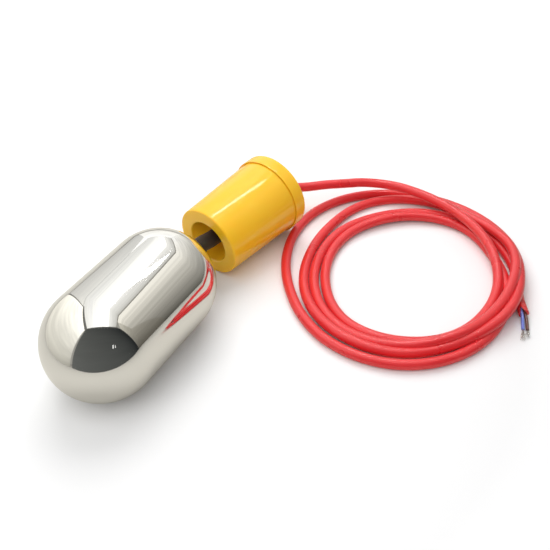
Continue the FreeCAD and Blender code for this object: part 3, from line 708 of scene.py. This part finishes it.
@dataclass(frozen=True)
class HeldCable:
    """The cable from the switch to the back of the counterweight, and the boot round it at the float.

    Attributes:
        start: Where the cable starts inside the float.
        neck: A point on its straight run through the neck.
        bend: The corner where it starts down to the counterweight.
        entry: How far along the weight's axis the bend ends.
        straight: How far along it the cable runs straight.
        radius: The cable's radius.
        boot: The boot's radius.
        boot_start: How far from the cable's start the boot starts.
        boot_end: How far along the weight's axis its lip is.
        lip: The rings that round the lip off: how far in and how far out each goes, in millimetres.
        lip_hollow: How deep the lip is hollow round the cable.
    """

    start: Point = (-0.0105, 0.0016, 0.0350)
    neck: Point = (0.0060, 0.0016, 0.0350)
    bend: Point = (0.0225, 0.0016, 0.0350)
    entry: float = 4.0 * MM
    straight: float = 26.0 * MM
    radius: float = 3.5 * MM
    boot: float = 5.6 * MM
    boot_start: float = 14.6 * MM
    boot_end: float = 14.1 * MM
    lip: tuple[Flat, ...] = ((0.5, 0.35), (0.9, 0.1), (0.55, -0.4))
    lip_hollow: float = 2.5 * MM

    def cable(self, weight: Counterweight) -> None:
        """Lay the held run of the cable."""
        points = [Vector(self.start), Vector(self.neck), Vector(self.bend), weight.on_axis(self.entry),
                  weight.on_axis(self.straight), weight.on_axis(weight.end)]
        run = line("held_cable", [points], self.radius)
        dress(run, Body.FLOAT, RED)
        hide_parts("cable_run")

    def sleeve(self, weight: Counterweight) -> None:
        """Mould the boot: a sleeve along the cable with a hollow, rounded lip."""
        mouth = weight.on_axis(self.boot_end)
        points = [Vector(self.start) + Vector((self.boot_start, 0.0, 0.0)), Vector(self.neck),
                  Vector(self.bend), weight.on_axis(self.entry), mouth]
        only(line("boot", [points], self.boot, 12))
        bpy.ops.object.convert(target="MESH")
        boot = bpy.context.active_object
        bpy.ops.object.mode_set(mode="EDIT")
        bpy.ops.mesh.select_mode(type="FACE")
        bpy.ops.mesh.select_all(action="SELECT")
        bpy.ops.mesh.remove_doubles(threshold=WELD)
        bpy.ops.mesh.select_all(action="DESELECT")
        bpy.ops.object.mode_set(mode="OBJECT")
        for face in boot.data.polygons:
            face.select = (face.center - mouth).length < 0.4 * MM
        bpy.ops.object.mode_set(mode="EDIT")
        for inward, outward in self.lip:
            bpy.ops.mesh.inset(thickness=inward * MM, depth=outward * MM)
        bpy.ops.mesh.extrude_region_move(TRANSFORM_OT_translate={"value": weight.axis() * -self.lip_hollow})
        bpy.ops.object.mode_set(mode="OBJECT")
        bpy.ops.object.shade_smooth_by_angle(angle=math.radians(60))
        dress(boot, Body.FLOAT, RUBBER)
        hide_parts("cable_boot")

    def build(self, weight: Counterweight) -> None:
        """Make the held cable and its boot."""
        self.cable(weight)
        self.sleeve(weight)


Turn = tuple[float, ...]


@dataclass(frozen=True)
class FreeCable:
    """The free cable: out of the counterweight, down to the coil, four turns round it, to its cut end.

    Attributes:
        length: Its real length, along its middle.
        diameter: The jacket's outside diameter.
        centre: The middle of the coil on the table.
        lead: Route points from the counterweight to the start of the coil.
        reaches: Each turn's distances from the coil's centre, in millimetres, in twelve directions,
            length: Its real length, along its middle; not used.
        heights: The line's heights at the same places, in millimetres.
        first_angle: The first direction, in degrees.
        angle_step: The angle between neighbouring directions, in degrees.
        tail: The last route points, up to the slit end.
        cut_in: By how much more than the line a control point reaches out from the centre.
    """

    length: float = 2.12
    diameter: float = 7.0 * MM
    centre: Flat = (0.1039, -0.1204)
    lead: tuple[Point, ...] = ((0.1150, -0.0095, 0.0274), (0.1255, -0.0140, 0.0236),
                               (0.1350, -0.0212, 0.0206), (0.1465, -0.0320, 0.0198),
                               (0.1575, -0.0435, 0.0180))
    reaches: tuple[Turn, ...] = (
        (92.0, 76.0, 65.3, 60.3, 59.7, 61.0, 66.8, 71.1, 71.9, 63.2, 57.9, 56.5),
        (56.2, 61.0, 66.0, 62.3, 65.5, 72.3, 82.1, 91.1, 93.0, 88.3, 89.0, 93.2),
        (92.5, 88.3, 82.8, 77.8, 73.2, 74.0, 74.5, 81.7, 85.0, 78.8, 72.2, 73.0),
        (81.6, 83.0, 72.0, 75.2, 69.0, 66.6, 71.0, 75.8, 78.5, 71.5, 64.8, 62.8),
        (62.7, 67.5, 73.5, 73.0, 73.0))
    heights: tuple[Turn, ...] = (
        (16.0, 14.5, 12.5, 10.5, 5.0, 3.5, 3.5, 3.5, 3.5, 3.5, 3.5, 4.0),
        (5.5, 5.0, 3.8, 3.5, 3.5, 3.5, 3.5, 3.5, 3.5, 3.5, 3.5, 3.5),
        (3.5, 3.5, 5.0, 7.0, 9.5, 10.3, 5.5, 3.5, 6.1, 3.5, 3.5, 3.5),
        (3.5, 4.0, 10.0, 11.0, 12.5, 9.0, 9.3, 4.5, 3.5, 3.5, 3.5, 3.5),
        (3.5, 3.5, 3.5, 3.5, 3.5))
    first_angle: float = 45.0
    angle_step: float = 30.0
    tail: tuple[Point, ...] = ((0.1140, -0.1936, 0.0035), (0.1066, -0.1974, 0.0035))
    cut_in: float = 1.0086

    def coil(self) -> list[Vector]:
        """The control points of the turns, two for each direction and none below the table's top."""
        reaches = [r for turn in self.reaches for r in turn]
        heights = [h for turn in self.heights for h in turn]
        points = []
        for number in range(2 * len(reaches) - 1):
            place = number / 2
            reach = smooth_between(reaches, place) * MM * self.cut_in
            height = max(smooth_between(heights, place) * MM, self.diameter / 2)
            angle = math.radians(self.first_angle - self.angle_step * place)
            points.append(Vector((self.centre[0] + reach * math.cos(angle),
                                  self.centre[1] + reach * math.sin(angle), height)))
        return points

    def route(self, weight: Counterweight) -> list[Vector]:
        """All the control points, from the counterweight's cap to the slit end."""
        return [weight.on_axis(weight.end), *map(Vector, self.lead), *self.coil(), *map(Vector, self.tail)]

    def build(self, weight: Counterweight, ends: list[Piece]) -> None:
        points = self.route(weight)
        cable = line("cable", [points], self.diameter / 2, 10)
        dress(cable, Body.FLOAT, RED)
        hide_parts("cable_lead", "cable_coil", "cable_tail")


def smooth_between(values: list[float], place: float) -> float:
    """Read a value between neighbours on a smooth curve through all of them.

    Args:
        values: The values at whole-number places.
        place: Where to read.

    Returns:
        The Catmull-Rom value at that place.
    """
    last = len(values) - 1
    start = min(int(place), last - 1)
    t = place - start
    p0, p1, p2, p3 = (values[max(0, min(last, start + k))] for k in (-1, 0, 1, 2))
    return 0.5 * (2 * p1 + (p2 - p0) * t + (2 * p0 - 5 * p1 + 4 * p2 - p3) * t * t
                  + (3 * p1 - p0 - 3 * p2 + p3) * t ** 3)


@dataclass(frozen=True)
class StrippedEnd:
    """The cable's cut end: the slit mouth of the jacket, two cores and their curled, tinned wires.

    Attributes:
        start: Where the slit mouth joins the cable.
        mouth: Where its lips end.
        radius: The jacket's radius.
        wall: The jacket's thickness.
        core: A core's radius.
        wire: A wire's radius.
        wires_each: How many wires end each core.
        fan: How far apart they are where they leave it.
        fan_step: By how much more at each point of their route.
        twist: How far they turn round it from point to point, in radians.
        hollow: The share of the slit end that is hollow.
        notch_width: The slit's width, as a share of its equal-sided shape.
        roll: How far the slit is turned about the cable, in degrees.
        blue: The blue core's route.
        brown: The brown core's route.
        blue_tip: The route of its bundle of wires.
        brown_tip: The same for the brown core.
    """

    start: Point = (0.1066, -0.1974, 0.0035)
    mouth: Point = (0.0988, -0.2018, 0.0035)
    radius: float = 3.5 * MM
    wall: float = 1.0 * MM
    core: float = 1.1 * MM
    wire: float = 0.22 * MM
    wires_each: int = 5
    fan: float = 0.35 * MM
    fan_step: float = 0.38 * MM
    twist: float = 0.8
    hollow: float = 0.9
    notch_width: float = 0.62
    roll: float = 35.0
    blue: tuple[Point, ...] = ((0.1052, -0.1972, 0.0037), (0.0982, -0.2010, 0.0034),
                               (0.0920, -0.2032, 0.0018), (0.0866, -0.2050, 0.0012))
    brown: tuple[Point, ...] = ((0.1055, -0.1992, 0.0036), (0.0987, -0.2032, 0.0030),
                                (0.0930, -0.2059, 0.0015), (0.0876, -0.2076, 0.0012))
    blue_tip: tuple[Point, ...] = ((0.0872, -0.2048, 0.0012), (0.0835, -0.2058, 0.0014),
                                   (0.0804, -0.2062, 0.0020), (0.0778, -0.2072, 0.0012))
    brown_tip: tuple[Point, ...] = ((0.0882, -0.2074, 0.0012), (0.0850, -0.2084, 0.0014),
                                    (0.0828, -0.2090, 0.0022), (0.0815, -0.2082, 0.0012))

    def jacket(self) -> Piece:
        """Make the hollow end of the jacket, with a notch that leaves two pointed lips."""
        start, mouth = Vector(self.start), Vector(self.mouth)
        along = (mouth - start).normalized()
        turn = along.to_track_quat("Z", "Y").to_matrix().to_4x4()
        depth = (mouth - start).length
        deselect()
        bpy.ops.mesh.primitive_cylinder_add(vertices=40, radius=self.radius, depth=depth,
                                            end_fill_type="NGON", location=(0, 0, 0))
        end = bpy.context.active_object
        end.name = "jacket_end"
        for face in end.data.polygons:
            face.select = face.normal.z > 0.9
        bpy.ops.object.mode_set(mode="EDIT")
        bpy.ops.mesh.select_mode(type="FACE")
        bpy.ops.mesh.inset(thickness=self.wall)
        bpy.ops.mesh.extrude_region_move(TRANSFORM_OT_translate={"value": (0.0, 0.0, -depth * self.hollow)})
        bpy.ops.object.mode_set(mode="OBJECT")
        deselect()
        bpy.ops.mesh.primitive_cylinder_add(vertices=3, radius=self.radius * 1.5, depth=self.radius * 4,
                                            location=(0.0, 0.0, depth / 2 + 0.3 * MM),
                                            rotation=(math.radians(90), 0.0, 0.0))
        notch = bpy.context.active_object
        bpy.ops.object.transform_apply(location=False, rotation=True, scale=True)
        notch.scale = (self.notch_width, 1.0, 1.0)
        notch.rotation_euler = (0.0, math.radians(180), 0.0)
        only(end)
        cut = end.modifiers.new("notch", "BOOLEAN")
        cut.operation = "DIFFERENCE"
        cut.solver = "EXACT"
        cut.object = notch
        bpy.ops.object.modifier_apply(modifier=cut.name)
        bpy.data.objects.remove(notch)
        settle(end, Matrix.Translation((start + mouth) / 2) @ turn
               @ Matrix.Rotation(math.radians(self.roll), 4, "Z"))
        bpy.ops.object.shade_smooth_by_angle(angle=math.radians(35))
        dress(end, Body.FLOAT, RED)
        return end

    def wires(self, name: str, tip: tuple[Point, ...]) -> Piece:
        """Fan the wires out along a bundle's route, each with its own curl."""
        routes = []
        for k in range(self.wires_each):
            lean = math.tau * k / self.wires_each
            points = []
            for number, point in enumerate(tip):
                spread = self.fan + self.fan_step * number
                way = lean + number * self.twist
                points.append(Vector(point) + spread * Vector((
                    math.cos(way) * 0.8, math.sin(way), abs(math.sin(lean)) * 0.5)))
            routes.append(points)
        return line(name, routes, self.wire, 3)

    def build(self) -> list[Piece]:
        """Make the end's pieces.

        Returns:
            The pieces.
        """
        pieces = [self.jacket()]
        for name, route, slot, finish, old in (
                ("blue_core_end", self.blue, Slot.BLUE, BLUE, "blue_core"),
                ("brown_core_end", self.brown, Slot.BROWN, BROWN, "brown_core")):
            core = line(name, [[Vector(p) for p in route]], self.core, 5)
            dress(core, Body.FLOAT, finish)
            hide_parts(old)
            pieces.append(core)
        for name, tip, old in (("blue_wires", self.blue_tip, "blue_strands"),
                               ("brown_wires", self.brown_tip, "brown_strands")):
            bundle = self.wires(name, tip)
            dress(bundle, Body.FLOAT, TINNED)
            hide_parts(old)
            pieces.append(bundle)
        return pieces


# ---------------------------------------------------------------- the works inside the float

@dataclass(frozen=True)
class Works:
    """The parts inside the float and the weight, as they come from the CAD, and their finishes.

    Attributes:
        groups: A finish and the names of the parts that have it.
    """

    groups: tuple[tuple[Finish, str], ...] = (
        (CUT_STEEL, "neck_boss clamp_washer carrier_screws switch_screws lever_pin"),
        (GROUND_STEEL, "steel_ball"),
        (BRASS, "gland_nut terminal_common terminal_open terminal_closed"),
        (GREY, "switch_carrier"),
        (BLACK, "switch_case switch_cover"),
        (WHITE, "switch_lever switch_plunger"),
        (RUBBER, "ball_buffer"),
        (IRON, "ballast_slug"),
        (BLUE, "blue_inner_core"),
        (BROWN, "brown_inner_core"),
    )

    def build(self) -> None:
        """Give each carried-over part its finish."""
        for finish, names in self.groups:
            for name in names.split():
                paint(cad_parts[name], finish)
            log.info("finished in %s: %s", finish.name, names)


# ---------------------------------------------------------------- the studio

def tent_point(forward: float, right: float, up: float) -> Point:
    """A point of the tent, in metres ahead of, to the right of and above the float's middle."""
    turn = math.radians(39.0)
    return (-0.05 + forward * math.cos(turn) + right * math.sin(turn),
            forward * math.sin(turn) - right * math.cos(turn), 0.035 + up)


def panel(low: float, high: float, *spots: Flat) -> list[Point]:
    """The corners of one of the tent's panels.

    Args:
        low: The height of its first two corners above the float's middle.
        high: The height of its last two.
        spots: (forward, right) of its four corners in order, or of the two ends of an upright one.

    Returns:
        The four corners.
    """
    first, last, *top = spots
    plan = (first, last, *(top or (last, first)))
    return [tent_point(*spot, up) for spot, up in zip(plan, (low, low, high, high))]


@dataclass(frozen=True)
class Card:
    """A glowing panel of the light tent that only gloss shows.

    Attributes:
        name: What it is in the tent.
        corners: Its four corners, in metres.
        colours: The colour at each corner, or one for all four.
        strength: How bright it is.
        folds: How much the folds of its cloth lighten and darken it.
        bell: Whether it fades out towards its long edges, as a lamp behind cloth does.
    """

    name: str
    corners: list[Point]
    colours: str
    strength: float = 1.0
    folds: float = 0.10
    bell: bool = False

    def power(self, nodes: Nodes, cloth: Node, across: Socket) -> Node:
        """How bright the panel is from place to place.

        Args:
            nodes: The material's nodes.
            cloth: The place on the cloth.
            across: How far it is across the cloth.

        Returns:
            The node whose output is the strength.
        """
        if self.bell:
            ramp = nodes.add("ShaderNodeMath", {"operation": "PINGPONG"}, i0=across, i1=0.5)
            fade = nodes.add("ShaderNodeMath", {"operation": "POWER"}, i0=ramp, i1=2.0)
            return nodes.add("ShaderNodeMath", {"operation": "MULTIPLY"}, i0=fade, i1=4.0 * self.strength)
        # The folds run along the panel: eleven across it to two along it
        stretched = nodes.add("ShaderNodeMapping", Vector=cloth, Scale=(2.0, 11.0, 1.0))
        fold = nodes.add("ShaderNodeTexNoise", Vector=stretched, Scale=1.0, Detail=2.0)
        return nodes.add("ShaderNodeMapRange", Value=fold, From_Min=0.3, From_Max=0.7,
                         To_Min=self.strength * (1 - self.folds), To_Max=self.strength * (1 + self.folds))

    def build(self) -> None:
        """Hang the panel."""
        deselect()
        bpy.ops.mesh.primitive_plane_add()
        item = bpy.context.active_object
        item.name = self.name
        for vertex, number in zip(item.data.vertices, (0, 1, 3, 2)):
            vertex.co = self.corners[number]
        material = bpy.data.materials.new(self.name)
        nodes = Nodes(material)
        cloth = nodes.add("ShaderNodeUVMap")
        along, across, _ = nodes.add("ShaderNodeSeparateXYZ", Vector=cloth).outputs
        first, second, third, fourth = map(linear, (self.colours.split() * 4)[:4])
        start = nodes.add("ShaderNodeMix", RGBA, i0=along, i6=first, i7=second)
        end = nodes.add("ShaderNodeMix", RGBA, i0=along, i6=fourth, i7=third)
        shade = nodes.add("ShaderNodeMix", RGBA, i0=across, i6=start, i7=end)
        glow = nodes.add("ShaderNodeEmission", Color=shade, Strength=self.power(nodes, cloth, across))
        nodes.add("ShaderNodeOutputMaterial", Surface=glow)
        item.data.materials.append(material)
        item.visible_camera = item.visible_diffuse = item.visible_shadow = item.visible_transmission = False


@dataclass(frozen=True)
class Studio:
    """The camera, the floor, the light and the tent that the steel reflects.

    Attributes:
        camera_at: Where the camera stands.
        looks_at: The point at the middle of its picture.
        lens: Its focal length in millimetres, behind a picture 36 mm wide.
        sky: How bright the light from all round is.
        paper: The floor's colour where it lights the object.
        paper_in_steel: Its warmer, darker colour as the steel shows it.
        gap_in_steel: What the steel shows where the tent has a gap.
        fade_from: How far from the middle the floor starts to turn pure white to the camera.
        fade_to: How far from the middle it is brightest.
    """

    camera_at: Point = (-0.27047, -0.22088, 0.33733)
    looks_at: Point = (0.0548, -0.0379, 0.0)
    lens: float = 46.52
    sky: float = 0.43
    paper: str = "e6e6e4"
    paper_in_steel: str = "d6d3cb"
    gap_in_steel: str = "a8a6a0"
    fade_from: float = 0.22
    fade_to: float = 0.9

    def camera(self) -> None:
        """Set up the camera."""
        data = bpy.data.cameras.new("camera")
        data.lens = self.lens
        data.sensor_width = 36.0
        data.clip_start = 0.01
        item = bpy.data.objects.new("camera", data)
        bpy.context.scene.collection.objects.link(item)
        look = Vector(self.looks_at) - Vector(self.camera_at)
        item.location = self.camera_at
        item.rotation_euler = look.to_track_quat("-Z", "Y").to_euler()
        bpy.context.scene.camera = item

    def floor(self) -> None:
        """Lay the floor: white to the camera, and a warm pale grey in the steel."""
        deselect()
        bpy.ops.mesh.primitive_plane_add(size=8.0, location=(0.0, 0.0, 0.0))
        floor = bpy.context.active_object
        floor.name = "floor"
        material = bpy.data.materials.new("white sweep")
        nodes = Nodes(material)
        rays = nodes.add("ShaderNodeLightPath")
        seen = nodes.add("ShaderNodeMix", RGBA, i0=rays.outputs["Is Glossy Ray"],
                         i6=linear(self.paper), i7=linear(self.paper_in_steel))
        place = nodes.add("ShaderNodeTexCoord").outputs["Object"]
        far = nodes.add("ShaderNodeVectorMath", {"operation": "LENGTH"}, i0=place)
        lift = nodes.add("ShaderNodeMapRange", Value=far, From_Min=self.fade_from, From_Max=self.fade_to,
                         To_Min=0.96, To_Max=3.0)
        white = nodes.add("ShaderNodeMix", RGBA, i0=rays.outputs["Is Camera Ray"],
                          i6=seen, i7=lift)
        shade = nodes.add("ShaderNodeBsdfDiffuse", Color=white)
        nodes.add("ShaderNodeOutputMaterial", Surface=shade)
        floor.data.materials.append(material)

    def light(self) -> None:
        """Light the table from all round, and more from a soft box above and to the left."""
        world = bpy.data.worlds.new("light tent")
        bpy.context.scene.world = world
        nodes = Nodes(world)
        rays = nodes.add("ShaderNodeLightPath")
        sky = nodes.add("ShaderNodeMix", RGBA, i0=rays.outputs["Is Glossy Ray"],
                        i6=(self.sky, self.sky, self.sky, 1.0), i7=linear(self.gap_in_steel))
        white = nodes.add("ShaderNodeMix", RGBA, i0=rays.outputs["Is Camera Ray"],
                          i6=sky, i7=(1.0, 1.0, 1.0, 1.0))
        back = nodes.add("ShaderNodeBackground", Color=white)
        nodes.add("ShaderNodeOutputWorld", Surface=back)
        self.soft_box("soft box", (0.27, 0.14, 0.50), (0.03, -0.06, 0.0), 0.5, 2.3)
        self.soft_box("front reflector", (-0.25, -0.05, 0.42), (0.03, 0.0, 0.03), 0.4, 1.05)

    def soft_box(self, name: str, place: Point, aim: Point, size: float, watts: float) -> None:
        """Hang one square soft box, which gloss doesn't show.

        Args:
            name: Its name.
            place: Where it hangs.
            aim: The point that it faces.
            size: Its side.
            watts: Its power.
        """
        lamp = bpy.data.lights.new(name, "AREA")
        lamp.size = size
        lamp.energy = watts
        item = bpy.data.objects.new(name, lamp)
        item.location = place
        item.rotation_euler = (Vector(aim) - item.location).to_track_quat("-Z", "Y").to_euler()
        item.visible_glossy = False
        bpy.context.scene.collection.objects.link(item)

    def tent(self) -> None:
        """Hang the tent's panels: ceiling, walls, seams, its dark opening and the lamps."""
        top, low, near, far = 0.85, -0.034, -0.28, 1.6
        seam, lamp, left, right = top - 0.01, top - 0.02, -0.36, 0.585
        cards = (
            Card("ceiling_left", panel(top, top, (near, -0.35), (far, -0.35), (far, -0.12), (near, -0.12)),
                 "f6f5f0 e0e0de e6e6e4 ffffff", 1.2),
            Card("ceiling_middle", panel(top, top, (near, -0.12), (far, -0.12), (far, 0.30), (near, 0.30)),
                 "e0e0de b8b8b6 f0f0ee ffffff", 1.8),
            Card("ceiling_right", panel(top, top, (near, 0.30), (far, 0.30), (far, 0.56), (near, 0.56)),
                 "eeeeec eeedea c4c3bf b8b7b3", 1.3),
            Card("wall_right", panel(low, top, (-0.10, right), (far, right)),
                 "4c4a44 e4e2da ffffff f4f0e6", 1.25, 0.14),
            Card("wall_left", panel(low, top, (0.72, left), (far, left), (far, left), (0.47, left)),
                 "cccbc8 c4c4c2 e6e6e4 f6f5f0", 1.15, 0.06),
            Card("wall_left_near", panel(low, top, (-0.30, left), (0.72, left), (0.47, left), (-0.30, left)),
                 "8c8a82 dcd9d0 f8f6ee fffdf6", 1.75, 0.13),
            Card("seam_left", panel(low, top, (0.70, -0.355), (0.74, -0.355), (0.49, -0.355), (0.45, -0.355)),
                 "8a8986 8a8986 6c6b6a 6c6b6a"),
            Card("seam_above_left", panel(seam, seam, (near, -0.35), (0.47, -0.35), (0.47, -0.32),
                                          (near, -0.27)), "5c5b58 5c5b58 8a8986 8a8986"),
            Card("seam_right", panel(seam, seam, (near, 0.55), (far, 0.55), (far, right), (near, right)),
                 "a09e96 a8a69e 8e8c86 8e8c86"),
            Card("seam_near", panel(seam, seam, (-0.31, -0.33), (-0.27, -0.33), (-0.27, 0.58), (-0.31, 0.70)),
                 "5c5b58"),
            Card("wall_back", panel(low, top, (1.62, left), (1.62, right)),
                 "ecebe6 f0eee8 ffffff ffffff", 1.3),
            Card("opening", panel(low, top, (-0.31, -0.33), (-0.31, 0.75)),
                 "787a78 202426 2a2d2f 5c5e5c", 0.78, 0.05),
            Card("opening_side", panel(low, top, (-0.31, 0.75), (-0.10, 0.60)),
                 "5a5750 5e5a52 d8d4c8 ccc8bc", 1.1),
            Card("strip_lamp", panel(lamp, lamp, (0.35, 0.08), (0.35, 0.46), (0.44, 0.46), (0.44, 0.08)),
                 "ffffff", 32.0, bell=True),
            Card("lamp_mark", panel(0.175, 0.225, (-0.305, 0.125), (-0.305, 0.135), (-0.305, 0.155),
                                    (-0.305, 0.145)), "ffffff", 1.5, 0.0),
            Card("second_mark", panel(0.175, 0.215, (-0.305, 0.155), (-0.305, 0.163), (-0.305, 0.178),
                                      (-0.305, 0.170)), "ffffff", 1.2, 0.0),
        )
        for card in cards:
            card.build()

    def build(self) -> None:
        """Set up the whole studio, showing colours as they are written."""
        bpy.context.scene.view_settings.view_transform = "Standard"
        self.camera()
        self.floor()
        self.light()
        self.tent()


def main() -> None:
    """Build the studio and the switch, piece by piece."""
    logging.basicConfig(level=logging.INFO, format="%(name)s: %(message)s")
    Studio().build()
    weight = Counterweight()
    ends = StrippedEnd().build()
    FreeCable().build(weight, ends)
    HeldCable().build(weight)
    Float().build()
    weight.build()
    Works().build()


if __name__ == "__main__":
    main()
